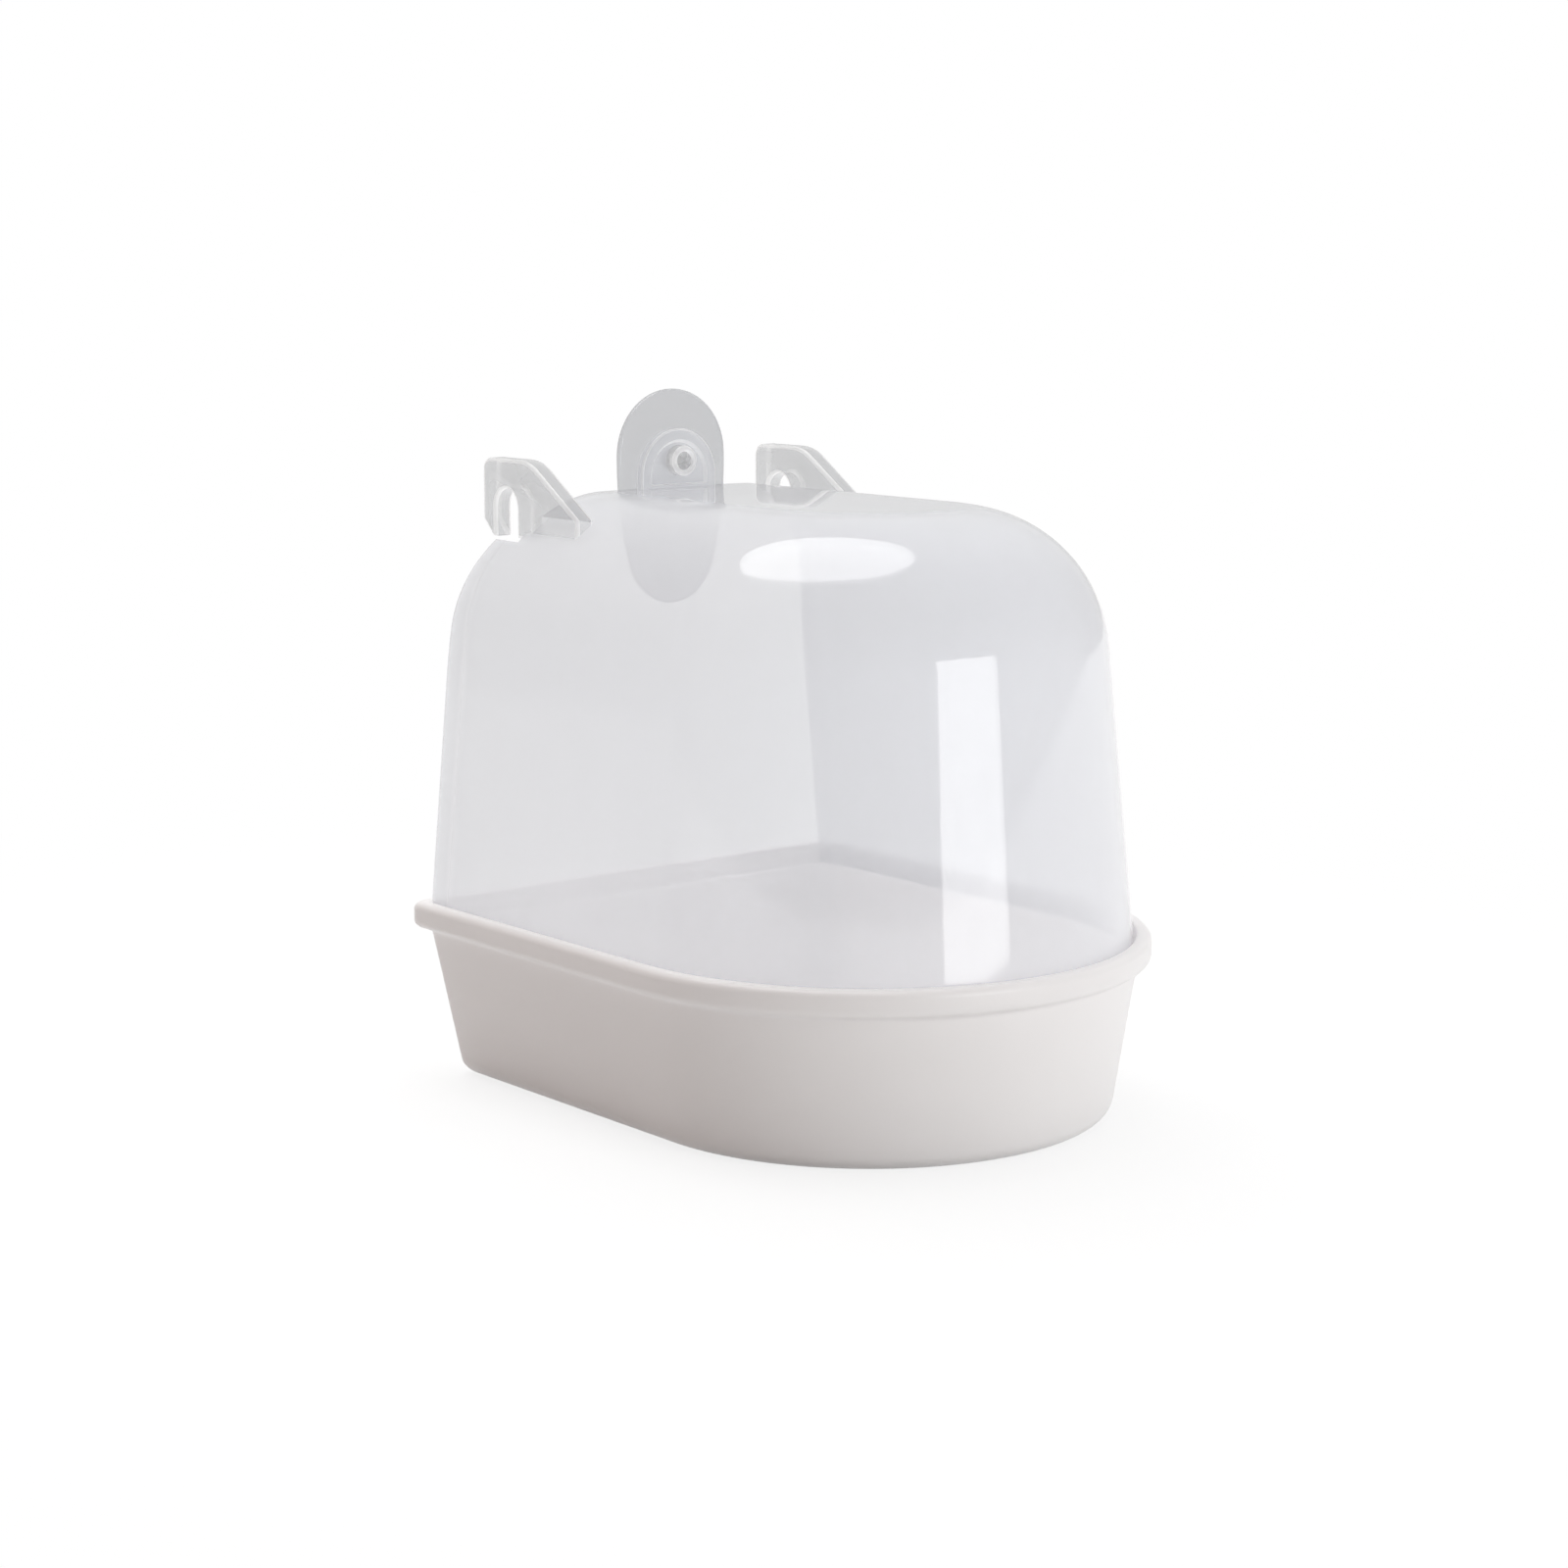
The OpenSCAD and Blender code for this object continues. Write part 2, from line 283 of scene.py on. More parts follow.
# Walls that follow a plan
def wall_tree():
    """Carries a section of insets and heights along a plan whose points say how an inset moves them."""
    tree = bpy.data.node_groups.new("wall along a plan", "GeometryNodeTree")
    inputs = {
        "Section": "NodeSocketGeometry",
        "Plan": "NodeSocketObject",
        "Plan points": "NodeSocketInt",
        "Section points": "NodeSocketInt",
        "Finish": "NodeSocketMaterial",
    }
    for name, kind in inputs.items():
        tree.interface.new_socket(name, in_out="INPUT", socket_type=kind)
    tree.interface.new_socket("Wall", in_out="OUTPUT", socket_type="NodeSocketGeometry")
    start = Wire(tree).add("NodeGroupInput")
    plan = start.add("GeometryNodeObjectInfo", values={"Object": start.other("Plan")}, out="Geometry")
    across = start.other("Section points")
    index = start.add("GeometryNodeInputIndex")
    along_i = (index / across).floor()
    across_i = index % across
    place = start.add("GeometryNodeInputPosition")
    inward = start.add("GeometryNodeInputNamedAttribute", {"data_type": "FLOAT_VECTOR"}, {"Name": "inward"})

    def sampled(source, value, number):
        return start.add(
            "GeometryNodeSampleIndex",
            {"data_type": "FLOAT_VECTOR"},
            {"Geometry": source, "Value": value, "Index": number},
        )

    section = start.add("ShaderNodeSeparateXYZ", values={0: sampled(start, place, across_i)})
    inset = start.add("ShaderNodeCombineXYZ", values={"X": section, "Y": section, "Z": section})
    height = start.add("ShaderNodeCombineXYZ", values={"Z": section.other("Z")})
    moved = start.add(
        "ShaderNodeVectorMath",
        {"operation": "MULTIPLY_ADD"},
        {0: sampled(plan, inward, along_i), 1: inset, 2: sampled(plan, place, along_i)},
    )
    raised = start.add("ShaderNodeVectorMath", {"operation": "ADD"}, {0: moved, 1: height})
    counts = {"Vertices X": start.other("Plan points"), "Vertices Y": across}
    grid = start.add("GeometryNodeMeshGrid", values=counts)
    wall = start.add("GeometryNodeSetPosition", values={"Geometry": grid, "Position": raised})
    wall = start.add("GeometryNodeMergeByDistance", values={"Geometry": wall, "Distance": SAME_POINT})
    wall = start.add("GeometryNodeRealizeInstances", values={"Geometry": wall})
    finish = start.other("Finish")
    wall = start.add("GeometryNodeSetMaterial", values={"Geometry": wall, "Material": finish})
    start.add("NodeGroupOutput", values={"Wall": wall})
    return tree


WALL_TREE = wall_tree()


def wall_along(name, plan, section, finish):
    """A wall from plan points (x, y, inward x, inward y) and section points (inset, z)."""
    path = as_object(name + "_plan", plain_points(name + "_plan", [(x, y, 0) for x, y, _, _ in plan]))
    shift = path.data.attributes.new("inward", "FLOAT_VECTOR", "POINT")
    for k, (_, _, dx, dy) in enumerate(plan):
        shift.data[k].vector = (dx, dy, 0)
    wall = as_object(name, plain_points(name, [(inset, 0, z) for inset, z in section]))
    maker = wall.modifiers.new("wall", "NODES")
    maker.node_group = WALL_TREE
    sockets = [item for item in WALL_TREE.interface.items_tree if item.in_out == "INPUT"]
    named = {item.name: item.identifier for item in sockets}
    maker[named["Plan"]] = path
    maker[named["Plan points"]] = len(plan)
    maker[named["Section points"]] = len(section)
    maker[named["Finish"]] = finish
    apply_modifiers(wall)
    # The first slot is the section's own, which is empty
    wall.data.materials.pop(index=0)
    discard(path)
    return wall


def turn_outwards(mesh, inside):
    """Makes faces agree, and point away from a place inside."""
    bm = bmesh.new()
    bm.from_mesh(mesh)
    bmesh.ops.dissolve_degenerate(bm, dist=1e-7, edges=bm.edges)
    bmesh.ops.recalc_face_normals(bm, faces=bm.faces)
    lean = 0
    for f in bm.faces:
        lean += (f.calc_center_median() - Vector(inside)).dot(f.normal) * f.calc_area()
    if lean < 0:
        bmesh.ops.reverse_faces(bm, faces=bm.faces)
    bm.to_mesh(mesh)
    bm.free()


def slab(name, outline, place, finish, highlight_finish=None, edge=0):
    """An outline drawn as (u, v), given thickness by place(u, v, side) for side 0 and 1.

    An edge rounds the rims and gives them the second finish, which for the hooks and lug is a painted edge
    highlight. Without an edge, the walls between the sides take the second finish.
    """
    bm = bmesh.new()
    rings = [[bm.verts.new(place(u, v, side)) for u, v in outline] for side in (0, 1)]
    count = len(outline)
    caps = [bm.faces.new(rings[0]), bm.faces.new(reversed(rings[1]))]
    for k in range(count):
        n = (k + 1) % count
        wall = bm.faces.new((rings[0][k], rings[1][k], rings[1][n], rings[0][n]))
        wall.material_index = 0 if edge else 1
    bmesh.ops.recalc_face_normals(bm, faces=bm.faces)
    if edge:
        rim = [e for cap in caps for e in cap.edges]
        rounded = bmesh.ops.bevel(
            bm, geom=rim, offset=edge, segments=EDGE_STEPS, profile=0.5, affect="EDGES", clamp_overlap=True
        )
        # The rounded rims take the second finish, the painted edge highlight where one is given
        for f in rounded["faces"]:
            f.material_index = 1
    mesh = bpy.data.meshes.new(name)
    bm.to_mesh(mesh)
    bm.free()
    mesh.materials.append(finish)
    mesh.materials.append(highlight_finish or finish)
    return as_object(name, mesh)


def combine(body, operation, *tools):
    """Joins tools to a body or cuts them from it."""
    for tool in tools:
        step = body.modifiers.new("combine", "BOOLEAN")
        step.operation = operation
        step.solver = "EXACT"
        step.material_mode = "TRANSFER"
        step.object = tool
        apply_modifiers(body)
    discard(*tools)
    return body


# Finishes
def finish_tree(name):
    material = bpy.data.materials.new(name)
    material.use_nodes = True
    material.node_tree.nodes.clear()
    return material, Wire(material.node_tree)


def noise(tree, place, scale, detail):
    return tree.add("ShaderNodeTexNoise", values={"Vector": place, "Scale": scale, "Detail": detail})


def mixed(tree, factor, a, b):
    """A colour between two colours, which are inputs 6 and 7 and output 2 of the node."""
    return tree.add("ShaderNodeMix", {"data_type": "RGBA"}, {"Factor": factor, 6: a, 7: b}, 2)


def blended(tree, factor, a, b):
    """A surface between two surfaces."""
    return tree.add("ShaderNodeMixShader", values={0: factor, 1: a, 2: b})


def moulded_white():
    """Satin white plastic: faint clouding of the colour, fine skin and slow sink marks."""
    material, tree = finish_tree("moulded white")
    place = tree.add("ShaderNodeTexCoord", out="Object")
    cloud = noise(tree, place, scale=22.0, detail=3.0)
    skin = noise(tree, place, scale=2600.0, detail=2.0)
    sink = noise(tree, place, scale=30.0, detail=1.0)
    colour = mixed(tree, cloud, (0.85, 0.833, 0.83, 1), (0.89, 0.875, 0.873, 1))
    relief = {"Strength": 0.12, "Distance": 0.4 * MM, "Height": sink + skin * 0.06}
    bump = tree.add("ShaderNodeBump", values=relief)
    roughness = 0.3 + cloud * 0.12
    plastic = {"Base Color": colour, "Roughness": roughness, "IOR": 1.49, "Normal": bump}
    surface = tree.add("ShaderNodeBsdfPrincipled", values=plastic)
    tree.add("ShaderNodeOutputMaterial", values={"Surface": surface})
    return material


def clear_plastic(name, tint, haze, haze_tint, roughness, wave):
    """Clear moulded plastic: what is behind shows through a tint, under a gloss and a little haze.

    The haze scatters forwards, so it holds back less of the light that a lamp sends through it.
    """
    lit_from_behind = 0.65
    edge_haze = 0.5
    let_through = 0.8
    least_gloss = 0.04
    material, tree = finish_tree(name)
    place = tree.add("ShaderNodeTexCoord", out="Object")
    flow = noise(tree, place, scale=16.0, detail=2.0)
    cloud = noise(tree, place, scale=9.0, detail=3.0)
    bump = tree.add("ShaderNodeBump", values={"Strength": wave, "Distance": 1 * MM, "Height": flow})
    through = tree.add("ShaderNodeBsdfTransparent", values={"Color": tint})
    front_lit = tree.add("ShaderNodeBsdfDiffuse", values={"Color": haze_tint})
    back_lit = tree.add("ShaderNodeBsdfTranslucent", values={"Color": haze_tint})
    milk = blended(tree, lit_from_behind, front_lit, back_lit)
    shine = {"Color": WHITE, "Roughness": roughness, "Normal": bump}
    gloss = tree.add("ShaderNodeBsdfGlossy", values=shine)
    edge_on = tree.add("ShaderNodeLayerWeight", values={"Blend": 0.5, "Normal": bump}, out="Facing")
    lamp_ray = tree.add("ShaderNodeLightPath", out="Is Shadow Ray")
    depth = (haze * (0.7 + cloud * 0.6) + edge_haze * edge_on**2) * (1 - let_through * lamp_ray)
    body = blended(tree, depth, through, milk)
    surface = blended(tree, least_gloss + (1 - least_gloss) * edge_on**5, body, gloss)
    tree.add("ShaderNodeOutputMaterial", values={"Surface": surface})
    return material


TUB_WHITE = moulded_white()
HOOD_CLEAR = clear_plastic(
    "clear hood",
    tint=(0.968, 0.97, 0.975, 1),
    haze=0.38,
    haze_tint=(0.815, 0.822, 0.842, 1),
    roughness=0.04,
    wave=0.05,
)
HOOD_THICK = clear_plastic(
    "clear hooks",
    tint=(0.835, 0.838, 0.842, 1),
    haze=0.22,
    haze_tint=(0.72, 0.725, 0.73, 1),
    roughness=0.06,
    wave=0.05,
)
# Milky white for the rounded edges of the hooks and lug and for the lug's recess walls: a painted highlight,
# standing in for the bright lines that light draws along clear edges
PAINTED_EDGE_HIGHLIGHT = clear_plastic(
    "painted edge highlight",
    tint=(0.95, 0.95, 0.95, 1),
    haze=0.6,
    haze_tint=(0.94, 0.94, 0.94, 1),
    roughness=0.1,
    wave=0.0,
)
PLATE_CLEAR = clear_plastic(
    "clear plate",
    tint=(0.8, 0.804, 0.812, 1),
    haze=0.22,
    haze_tint=(0.645, 0.65, 0.66, 1),
    roughness=0.08,
    wave=0.05,
)
STUD_CLEAR = clear_plastic(
    "clear stud",
    tint=(0.86, 0.86, 0.86, 1),
    haze=0.4,
    haze_tint=(0.74, 0.74, 0.74, 1),
    roughness=0.06,
    wave=0.0,
)
# Milky white for the ring on the stud's head: a painted highlight, standing in for the bright rim that light
# makes on the clear stud
PAINTED_RING_HIGHLIGHT = clear_plastic(
    "painted ring highlight",
    tint=(0.97, 0.97, 0.97, 1),
    haze=0.8,
    haze_tint=(0.97, 0.97, 0.97, 1),
    roughness=0.06,
    wave=0.0,
)


# Plans
def round_nose(steps):
    """Plan points round the half-round front, from the left to the right."""
    points = []
    for k in range(steps + 1):
        a = math.pi * (1 + k / steps)
        points.append((HALF_W * math.cos(a), NOSE_Y + HALF_W * math.sin(a), -math.cos(a), -math.sin(a)))
    return points


def mirrored(plan):
    """Plan points of the left, from those of the right."""
    return [(-x, y, -dx, dy) for x, y, dx, dy in reversed(plan)]


# The tub
def wall_inset(z):
    return BEAD_R + COVE_R + (COVE_Z - z) * math.tan(TUB_LEAN)


def tub_section():
    """From the underside round the foot, up the wall, over the lip and down inside to the floor."""
    lean = math.degrees(TUB_LEAN)
    foot_in = FOOT_R / math.cos(TUB_LEAN)
    floor_z = TUB_FLOOR + FOOT_R
    floor_in = wall_inset(floor_z) + TUB_WALL
    seat_in = wall_inset(SEAT_Z) + TUB_WALL
    below_z = SEAT_Z - LIP_EDGE_R
    below_in = wall_inset(below_z) + TUB_WALL
    points = arc(wall_inset(FOOT_R) + foot_in, FOOT_R, FOOT_R, 270, 180 + lean, 10)
    points += line(points[-1], (BEAD_R + COVE_R, COVE_Z), 6)[1:]
    points += arc(BEAD_R, COVE_Z, COVE_R, 0, 90, 8)
    points += arc(BEAD_R, BEAD_Z + BEAD_R, BEAD_R, 270, 180, 10)[1:]
    points += arc(BEAD_R, TUB_H - BEAD_R, BEAD_R, 180, 90, 10)
    points += arc(LIP_W - LIP_EDGE_R, TUB_H - LIP_EDGE_R, LIP_EDGE_R, 90, 0, 4)
    points += [(LIP_W, SEAT_Z + LIP_EDGE_R / 2), (LIP_W, SEAT_Z)]
    points += [(seat_in - LIP_EDGE_R, SEAT_Z), (seat_in, SEAT_Z - LIP_EDGE_R / 2)]
    points += line((below_in, below_z), (floor_in, floor_z), 6)
    points += arc(floor_in + foot_in, floor_z, FOOT_R, 180 + lean, 270, 10)
    return points


def tub_plan(depth):
    """The closed outline of the lip. An inset of depth leaves corners of the floor's radius."""
    lip_x = HALF_W - LIP_CORNER_R
    lip_y = BACK_Y - LIP_CORNER_R
    floor_x = HALF_W - depth - FLOOR_CORNER_R
    floor_y = BACK_Y - depth - FLOOR_CORNER_R
    right = []
    for k in range(1, TUB_SIDE_STEPS + 1):
        share = k / TUB_SIDE_STEPS
        y = NOSE_Y + (lip_y - NOSE_Y) * share
        y_in = NOSE_Y + (floor_y - NOSE_Y) * share
        right.append((HALF_W, y, -1, (y_in - y) / depth))
    for k in range(1, TUB_CORNER_STEPS + 1):
        a = math.radians(90 * k / TUB_CORNER_STEPS)
        x = lip_x + LIP_CORNER_R * math.cos(a)
        y = lip_y + LIP_CORNER_R * math.sin(a)
        x_in = floor_x + FLOOR_CORNER_R * math.cos(a)
        y_in = floor_y + FLOOR_CORNER_R * math.sin(a)
        right.append((x, y, (x_in - x) / depth, (y_in - y) / depth))
    back = []
    for k in range(1, TUB_BACK_STEPS):
        share = 1 - 2 * k / TUB_BACK_STEPS
        back.append((lip_x * share, BACK_Y, (floor_x - lip_x) * share / depth, -1))
    nose = round_nose(TUB_NOSE_STEPS)
    return nose + right + back + mirrored(right) + nose[:1]


def make_tub():
    section = tub_section()
    tub = wall_along("tub_shell", tub_plan(section[-1][0]), section, TUB_WHITE)
    bm = bmesh.new()
    bm.from_mesh(tub.data)
    bmesh.ops.remove_doubles(bm, verts=bm.verts, dist=SAME_POINT)
    bmesh.ops.holes_fill(bm, edges=bm.edges, sides=0)
    bm.to_mesh(tub.data)
    bm.free()
    turn_outwards(tub.data, TUB_INSIDE)
    shade(tub.data, angle=35)
    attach(tub, "tub")
    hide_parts("tub")


# The hood
def hood_inset(z):
    return SKIRT_IN + (z - SKIRT_Z) * math.tan(HOOD_LEAN)


def hood_wall_points():
    """Section of the hood's outside up to the crown of its shoulder, as (inset, z)."""
    mid_z = HOOD_Z - SHOULDER_R
    mid_in = hood_inset(mid_z) + SHOULDER_R / math.cos(HOOD_LEAN)
    shoulder = arc(mid_in, mid_z, SHOULDER_R, 180 - math.degrees(HOOD_LEAN), 90, 40)
    return line((SKIRT_IN, SKIRT_Z), shoulder[0], 14) + shoulder


def hood_section():
    """The hood's outside in two runs: as high as the cheeks, then on to the middle of the top."""
    wall = hood_wall_points()
    cheek = [p for p in wall if p[1] < CHEEK_Z - CHEEK_CLEAR]
    above = [p for p in wall if p[1] > CHEEK_Z + CHEEK_CLEAR]
    low_in, low_z = cheek[-1]
    high_in, high_z = above[0]
    share = (CHEEK_Z - low_z) / (high_z - low_z)
    cheek.append((low_in + (high_in - low_in) * share, CHEEK_Z))
    top_in = above[-1][0]
    for k in range(1, HOOD_TOP_STEPS + 1):
        inset = top_in + (HALF_W - top_in) * k / HOOD_TOP_STEPS
        rise = 1 - ((HALF_W - inset) / (HALF_W - top_in)) ** 2
        above.append((inset, HOOD_Z + TOP_CROWN * rise))
    return cheek, above


def cheek_back(z):
    """Where the cheek's back edge lies at a height."""
    if z <= CHEEK_BEND_Z:
        return NECK_Y
    return NECK_Y - CHEEK_R + math.sqrt(CHEEK_R**2 - (z - CHEEK_BEND_Z) ** 2)


def add_cheek(bm, section, s):
    """Carries the left side (s = -1) or the right side (s = 1) back, with a step in towards its end."""
    neck = NECK_Y - FACE_Y
    ahead = (STEP_Y - FACE_Y - STEP_HALF) / neck
    behind = (STEP_Y - FACE_Y + STEP_HALF) / neck
    shares = [0.0]
    for start, end in ((0, ahead), (ahead, behind), (behind, 1)):
        shares += [start + (end - start) * t for t in (0.25, 0.5, 0.75, 1)]
    rows = []
    for inset, z in section:
        reach = cheek_back(z) - FACE_Y
        row = []
        for t in shares:
            ease = min(max((t - ahead) / (behind - ahead), 0), 1)
            sunk = NECK_STEP * ease * ease * (3 - 2 * ease)
            row.append(bm.verts.new((s * (HALF_W - inset - sunk), FACE_Y + reach * t, z)))
        rows.append(row)
    for low, high in zip(rows, rows[1:]):
        for k in range(len(low) - 1):
            bm.faces.new((low[k], low[k + 1], high[k + 1], high[k]))


def hood_skin():
    """The hood's outside: shell by a plan, then both cheeks behind it."""
    cheek, above = hood_section()
    side = []
    for k in range(1, HOOD_SIDE_STEPS + 1):
        side.append((HALF_W, NOSE_Y + (FACE_Y - NOSE_Y) * k / HOOD_SIDE_STEPS, -1, 0))
    plan = mirrored(side) + round_nose(HOOD_NOSE_STEPS) + side
    skin = wall_along("hood_shell", plan, cheek + above, HOOD_CLEAR)
    bm = bmesh.new()
    bm.from_mesh(skin.data)
    for s in (-1, 1):
        add_cheek(bm, cheek, s)
    bmesh.ops.remove_doubles(bm, verts=bm.verts, dist=SAME_SEAM)
    bm.to_mesh(skin.data)
    bm.free()
    turn_outwards(skin.data, HOOD_INSIDE)
    return skin


def hook_outline():
    """Side view of a hook, as (y, z)."""
    brow = HOOK_BROW_R * math.tan(HOOK_SLOPE / 2)
    brow_end = 90 + math.degrees(HOOK_SLOPE)
    toe_z = HOOK_Z - (HOOK_TOP_Y - HOOK_TOE_Y) * math.tan(HOOK_SLOPE)
    slot_r = SLOT_W / 2
    slot_mid = SLOT_FAR_Y - slot_r
    points = [(HOOK_Y - TIP_TAPER, TIP_Z), (HOOK_Y, TIP_Z + TIP_TAPER)]
    points += arc(HOOK_Y - HOOK_BACK_R, HOOK_Z - HOOK_BACK_R, HOOK_BACK_R, 0, 90, 8)
    points += arc(HOOK_TOP_Y + brow, HOOK_Z - HOOK_BROW_R, HOOK_BROW_R, 90, brow_end, 10)
    points += [(HOOK_TOE_Y, toe_z), (HOOK_TOE_Y, CHEEK_Z), (FACE_Y, CHEEK_Z), (FACE_Y + TIP_ROOT, TIP_Z)]
    points += [(slot_mid - slot_r, TIP_Z)]
    points += arc(slot_mid, SLOT_Z - slot_r, slot_r, 180, 0, 16)
    points += [(SLOT_FAR_Y, TIP_Z)]
    return points


def wall_middle():
    """A bar that fills the hood as far as the middle of its wall, to trim what stands on it."""
    half = HOOD_WALL / 2
    drop = half * 0.3
    right = [(HALF_W - (inset + half), min(z - drop, HOOD_Z - half)) for inset, z in hood_wall_points()]
    left = [(-x, z) for x, z in reversed(right)]
    return slab("hood_room", right + left, between_y(ROOM_FRONT_Y, ROOM_BACK_Y), HOOD_CLEAR)


def make_hooks():
    hooks = []
    for name, s in (("hook_left", -1), ("hook_right", 1)):
        sides = between_x(s * HOOK_X - HOOK_T / 2, s * HOOK_X + HOOK_T / 2)
        # The hooks' rounded edges take the painted edge highlight
        hook = slab(name, hook_outline(), sides, HOOD_THICK, PAINTED_EDGE_HIGHLIGHT, HOOK_EDGE)
        hooks.append(combine(hook, "DIFFERENCE", wall_middle()))
    return hooks


def arch(width, top_z, foot_z):
    """Outline of an upright arch, as (x, z)."""
    r = width / 2
    return [(-r, foot_z), (r, foot_z)] + arc(0, top_z - r, r, 0, 180, 28)


def bar(name, radius, front, back, finish):
    """A round bar along Y at the pivot."""
    ring = arc(0, PIVOT_Z, radius, 0, 360, 40)[:-1]
    return slab(name, ring, between_y(front, back), finish)


def make_lug():
    """An upright arch with a recessed panel, whose walls spread towards the front, and a bore."""
    foot_z = HOOD_Z - LUG_SINK
    sides = between_y(LUG_Y, LUG_BACK_Y)
    # The lug's rounded edges take the painted edge highlight
    lug = slab("lug", arch(LUG_W, LUG_Z, foot_z), sides, HOOD_CLEAR, PAINTED_EDGE_HIGHLIGHT, LUG_EDGE)
    panel_w = LUG_W - 2 * LUG_BORDER
    panel_z = LUG_Z - LUG_BORDER
    middle_z = panel_z - panel_w / 2
    panel_y = (PANEL_FRONT_Y, LUG_Y + LUG_PANEL)
    spread = (PANEL_SPREAD, 1.0)

    def sloped(x, z, side):
        return x * spread[side], panel_y[side], middle_z + (z - middle_z) * spread[side]

    # The panel's walls carry the painted edge highlight onto the walls of the lug's recess
    panel = slab("lug_panel", arch(panel_w, panel_z, HOOD_Z + PANEL_RISE), sloped, HOOD_CLEAR, PAINTED_EDGE_HIGHLIGHT)
    bore = bar("lug_bore", PIN_R + PIN_ROOM, LUG_Y - BORE_PAST, FACE_Y + BORE_PAST, HOOD_CLEAR)
    return combine(lug, "DIFFERENCE", panel, bore)


def make_hood():
    hood = hood_skin()
    thick = hood.modifiers.new("wall", "SOLIDIFY")
    thick.thickness = HOOD_WALL
    thick.offset = -1
    thick.use_even_offset = True
    thick.use_quality_normals = True
    apply_modifiers(hood)
    rim = hood.modifiers.new("rim", "BEVEL")
    rim.limit_method = "ANGLE"
    rim.angle_limit = math.radians(50)
    rim.width = HOOD_RIM
    rim.segments = 2
    apply_modifiers(hood)
    combine(hood, "UNION", *make_hooks(), make_lug())
    shade(hood.data, angle=40)
    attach(hood, "hood")
    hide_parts("hood")


# The latch
def oval():
    """Egg-shaped oval of the turn plate, as (x, z)."""
    top_z = PLATE_L / 2 - PLATE_TOP_R
    low_z = PLATE_END_R - PLATE_L / 2
    to_top = PLATE_SIDE_R - PLATE_TOP_R
    to_low = PLATE_SIDE_R - PLATE_END_R
    side_z = (top_z + low_z) / 2 + (to_low**2 - to_top**2) / (2 * (top_z - low_z))
    side_x = math.sqrt(to_top**2 - (top_z - side_z) ** 2)
    up = math.degrees(math.atan2(top_z - side_z, side_x))
    down = math.degrees(math.atan2(low_z - side_z, side_x))
    right = arc(-side_x, side_z, PLATE_SIDE_R, down, up, 24)
    top = arc(0, top_z, PLATE_TOP_R, up, 180 - up, 40)[1:-1]
    end = arc(0, low_z, PLATE_END_R, 180 - down, 360 + down, 32)[1:-1]
    outline = right + top + [(-x, z) for x, z in reversed(right)] + end
    return [(x, PLATE_MID_Z + z) for x, z in outline]


def make_plate():
    sides = between_y(PLATE_Y, PLATE_Y + PLATE_T)
    plate = slab("turn_plate", oval(), sides, PLATE_CLEAR, edge=PLATE_EDGE)
    ends = (PLATE_Y - BORE_PAST, PLATE_Y + 2 * BORE_PAST)
    bore = bar("plate_bore", PIN_R + PRESS_ROOM, *ends, PLATE_CLEAR)
    combine(plate, "DIFFERENCE", bore)
    shade(plate.data, angle=40)
    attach(plate, "latch")
    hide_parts("latch_plate")


def turned_stud():
    """A stud turned from a section of radius and depth, whose ring on the head is milky white as a painted
    highlight.
    """
    dish = [(0, DISH_Y), (DISH_R, DISH_Y), (DISH_RIM_R, DISH_RIM_Y)]
    ring = arc(RING_MID_R, HEAD_FRONT + RING_R, RING_R, 180, 360, RING_STEPS)
    shank = [(HEAD_R, HEAD_Y - HEAD_EDGE_Y), (HEAD_R - HEAD_EDGE_R, HEAD_Y), (PIN_R, HEAD_Y)]
    shank += [(PIN_R, PIN_END - PIN_CHAMFER), (PIN_R - PIN_CHAMFER, PIN_END), (0, PIN_END)]
    ring_rows = range(len(dish), len(dish) + RING_STEPS)
    angles = [2 * math.pi * k / STUD_STEPS for k in range(STUD_STEPS)]
    bm = bmesh.new()
    circles = []
    for r, y in dish + ring + shank:
        if r == 0:
            circles.append([bm.verts.new((0, y, PIVOT_Z))] * STUD_STEPS)
        else:
            places = [(r * math.cos(a), y, PIVOT_Z + r * math.sin(a)) for a in angles]
            circles.append([bm.verts.new(place) for place in places])
    for row, (a, b) in enumerate(zip(circles, circles[1:])):
        for k in range(STUD_STEPS):
            n = (k + 1) % STUD_STEPS
            face = bm.faces.new(list(dict.fromkeys((a[k], a[n], b[n], b[k]))))
            # Faces of the ring take the second material, the painted ring highlight
            face.material_index = int(row in ring_rows)
    bmesh.ops.recalc_face_normals(bm, faces=bm.faces)
    mesh = bpy.data.meshes.new("stud")
    bm.to_mesh(mesh)
    bm.free()
    mesh.materials.append(STUD_CLEAR)
    mesh.materials.append(PAINTED_RING_HIGHLIGHT)
    return as_object("stud", mesh)


def make_stud():
    """A turned stud, split by a cross."""
    stud = turned_stud()
    sides = between_y(HEAD_FRONT, HEAD_FRONT + SPLIT_DEPTH)
    corners = [(SPLIT_REACH, SPLIT_HALF), (-SPLIT_REACH, SPLIT_HALF)]
    corners += [(-SPLIT_REACH, -SPLIT_HALF), (SPLIT_REACH, -SPLIT_HALF)]
    cuts = []
    for turn in SPLIT_TURNS:
        c = math.cos(math.radians(turn))
        s = math.sin(math.radians(turn))
        outline = [(u * c - v * s, PIVOT_Z + u * s + v * c) for u, v in corners]
        cuts.append(slab("stud_cut", outline, sides, STUD_CLEAR))
    combine(stud, "DIFFERENCE", *cuts)
    shade(stud.data, angle=40)
    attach(stud, "latch")
    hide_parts("latch_pin")


make_tub()
make_hood()
make_plate()
make_stud()


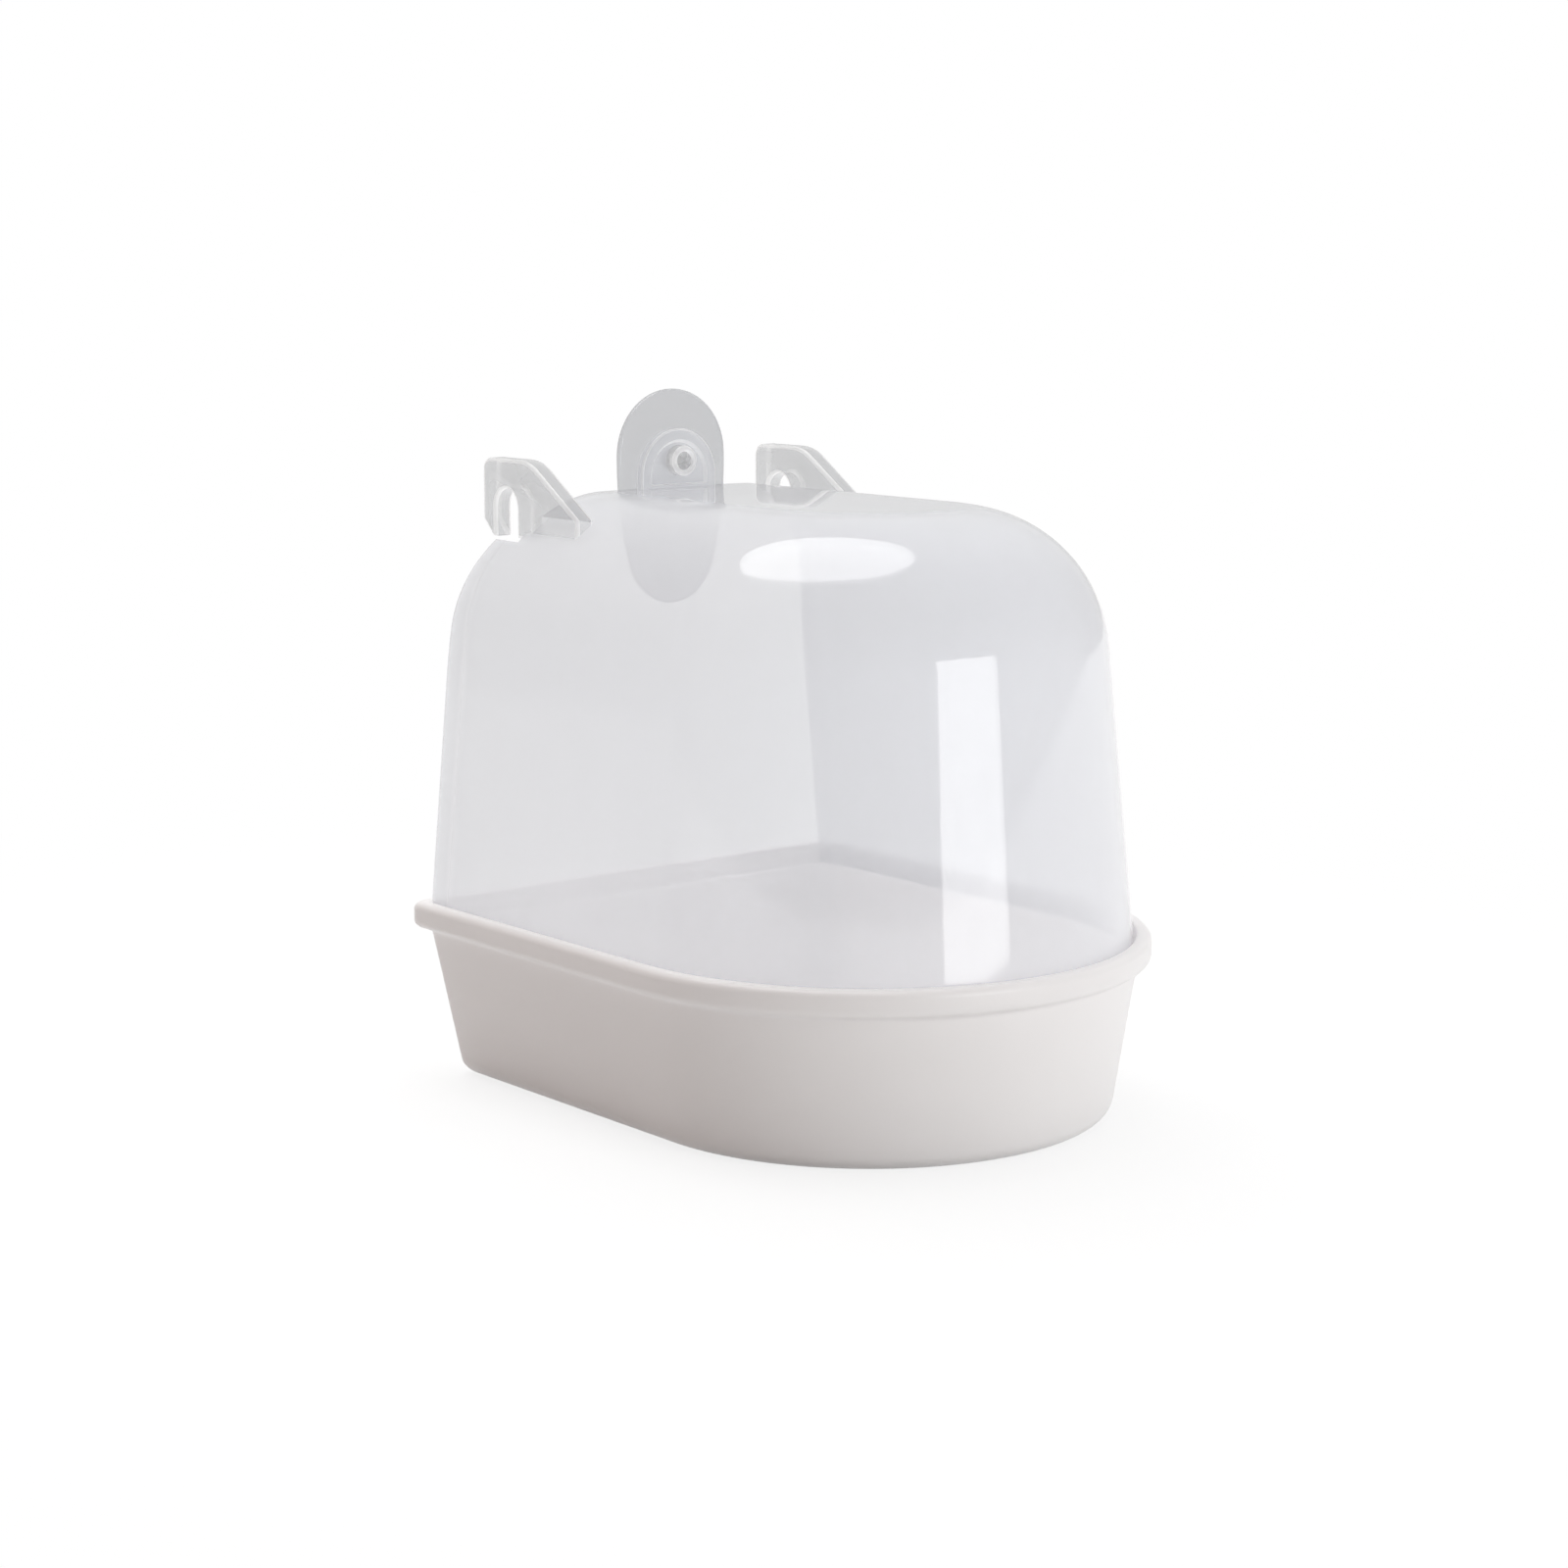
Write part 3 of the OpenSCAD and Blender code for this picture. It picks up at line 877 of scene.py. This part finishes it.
# Studio
def eased(tree, value, start, end, low, high):
    """Goes softly from low to high while a value goes from start to end."""
    return tree.add(
        "ShaderNodeMapRange",
        {"interpolation_type": "SMOOTHSTEP"},
        {"Value": value, "From Min": start, "From Max": end, "To Min": low, "To Max": high},
    )


def seen_directly(tree):
    """1 for rays that show the background: from the camera, or by way of a gloss or clear plastic."""
    path = tree.add("ShaderNodeLightPath", out="Is Camera Ray")
    shown = path.sum("MAXIMUM", path, path.other("Is Glossy Ray"))
    return path.sum("MAXIMUM", shown, path.other("Is Transmission Ray")), path


def pale_floor():
    """A floor that looks white, with the bath's soft shadow near the bath."""
    half = 3.0
    low = -0.2 * MM
    material, tree = finish_tree("pale floor")
    shown, _ = seen_directly(tree)
    place = tree.add("ShaderNodeTexCoord", out="Object")
    reach = tree.add("ShaderNodeVectorMath", {"operation": "LENGTH"}, {0: place}, "Value")
    far = eased(tree, reach, start=0.1, end=0.45, low=0.82, high=1.0)
    cloth = tree.add("ShaderNodeBsdfDiffuse", values={"Color": (0.7, 0.7, 0.7, 1)})
    paper = tree.add("ShaderNodeBsdfDiffuse", values={"Color": (0.95, 0.95, 0.95, 1)})
    white = tree.add("ShaderNodeEmission", values={"Color": WHITE, "Strength": 1.0})
    surface = blended(tree, shown, cloth, blended(tree, far, paper, white))
    tree.add("ShaderNodeOutputMaterial", values={"Surface": surface})
    corners = [(-half, -half, low), (half, -half, low), (half, half, low), (-half, half, low)]
    mesh = plain_points("floor", corners, [(0, 1, 2, 3)])
    mesh.materials.append(material)
    as_object("floor", mesh)


def studio_world():
    """White where it shows. Its light is soft, warmer from the left, and strongest from a screen behind."""
    screen_way = (0.62, 0.77, 0.15)
    world = bpy.data.worlds.new("studio")
    world.use_nodes = True
    world.node_tree.nodes.clear()
    tree = Wire(world.node_tree)
    shown, path = seen_directly(tree)
    heading = tree.add("ShaderNodeTexCoord", out="Generated")
    rightwards = tree.add("ShaderNodeSeparateXYZ", values={0: heading})
    backdrop = eased(tree, rightwards.other("Y"), start=-0.2, end=0.6, low=0.3, high=0.7)
    seen = 1 - path.other("Is Glossy Ray") * (1 - backdrop)
    soft = eased(tree, rightwards, start=-1.0, end=0.8, low=0.08, high=0.64)
    aligned = {0: heading, 1: screen_way}
    towards = tree.add("ShaderNodeVectorMath", {"operation": "DOT_PRODUCT"}, aligned, "Value")
    screen = eased(tree, towards, start=0.1, end=0.85, low=0.0, high=0.55)
    strength = shown * seen + (1 - shown) * (soft + screen)
    whitening = {"Value": rightwards, "From Min": -0.9, "From Max": 0.1}
    whiter = tree.add("ShaderNodeMapRange", values=whitening)
    side = mixed(tree, whiter, (1.0, 0.76, 0.65, 1), WHITE)
    colour = mixed(tree, shown, side, WHITE)
    light = tree.add("ShaderNodeBackground", values={"Color": colour, "Strength": strength})
    tree.add("ShaderNodeOutputWorld", values={"Surface": light})
    bpy.context.scene.world = world


def softbox(name, azimuth, elevation, distance, size, radiance):
    """A soft light that faces the bath. Azimuth 0 is in front, 90 to the right."""
    a = math.radians(azimuth)
    e = math.radians(elevation)
    width, height = size
    aim = Vector((0, 0, 80 * MM))
    place = aim + distance * Vector((math.sin(a) * math.cos(e), -math.cos(a) * math.cos(e), math.sin(e)))
    lamp = bpy.data.lights.new(name, "AREA")
    lamp.shape = "RECTANGLE"
    lamp.size = width
    lamp.size_y = height
    lamp.energy = radiance * math.pi * width * height
    made = bpy.data.objects.new(name, lamp)
    made.location = place
    made.rotation_mode = "QUATERNION"
    made.rotation_quaternion = (aim - place).to_track_quat("-Z", "Y")
    made.visible_camera = False
    bpy.context.scene.collection.objects.link(made)
    return made


def studio_lamps():
    """The key lights the bath, and a lower card of the same width shows in its gloss instead."""
    warm = (1.0, 0.72, 0.62)
    key = softbox("key", azimuth=6, elevation=11, distance=0.9, size=(0.46, 0.66), radiance=3.4)
    key.visible_glossy = False
    band = softbox("band", azimuth=6, elevation=2, distance=0.9, size=(0.46, 0.34), radiance=3.4)
    band.visible_diffuse = False
    overhead = softbox("overhead", azimuth=-155, elevation=78, distance=0.8, size=(0.61, 0.76), radiance=2.6)
    overhead.data.shape = "ELLIPSE"
    back = softbox("back", azimuth=178, elevation=50, distance=0.9, size=(0.6, 0.5), radiance=1.6)
    back.visible_glossy = False
    fill = softbox("fill", azimuth=-115, elevation=10, distance=1.0, size=(0.7, 0.6), radiance=0.6)
    fill.data.color = warm
    fill.visible_glossy = False


def studio_camera():
    shot = bpy.data.cameras.new("view")
    shot.sensor_width = 36
    shot.lens = 73.71
    camera = bpy.data.objects.new("view", shot)
    camera.location = (-0.49434, -0.5916, 0.20713)
    target = Vector((-0.00085, 0.01607, 0.07515))
    camera.rotation_mode = "QUATERNION"
    camera.rotation_quaternion = (target - camera.location).to_track_quat("-Z", "Y")
    bpy.context.scene.collection.objects.link(camera)
    bpy.context.scene.camera = camera


pale_floor()
studio_world()
studio_lamps()
studio_camera()
bpy.context.scene.view_settings.view_transform = "Standard"
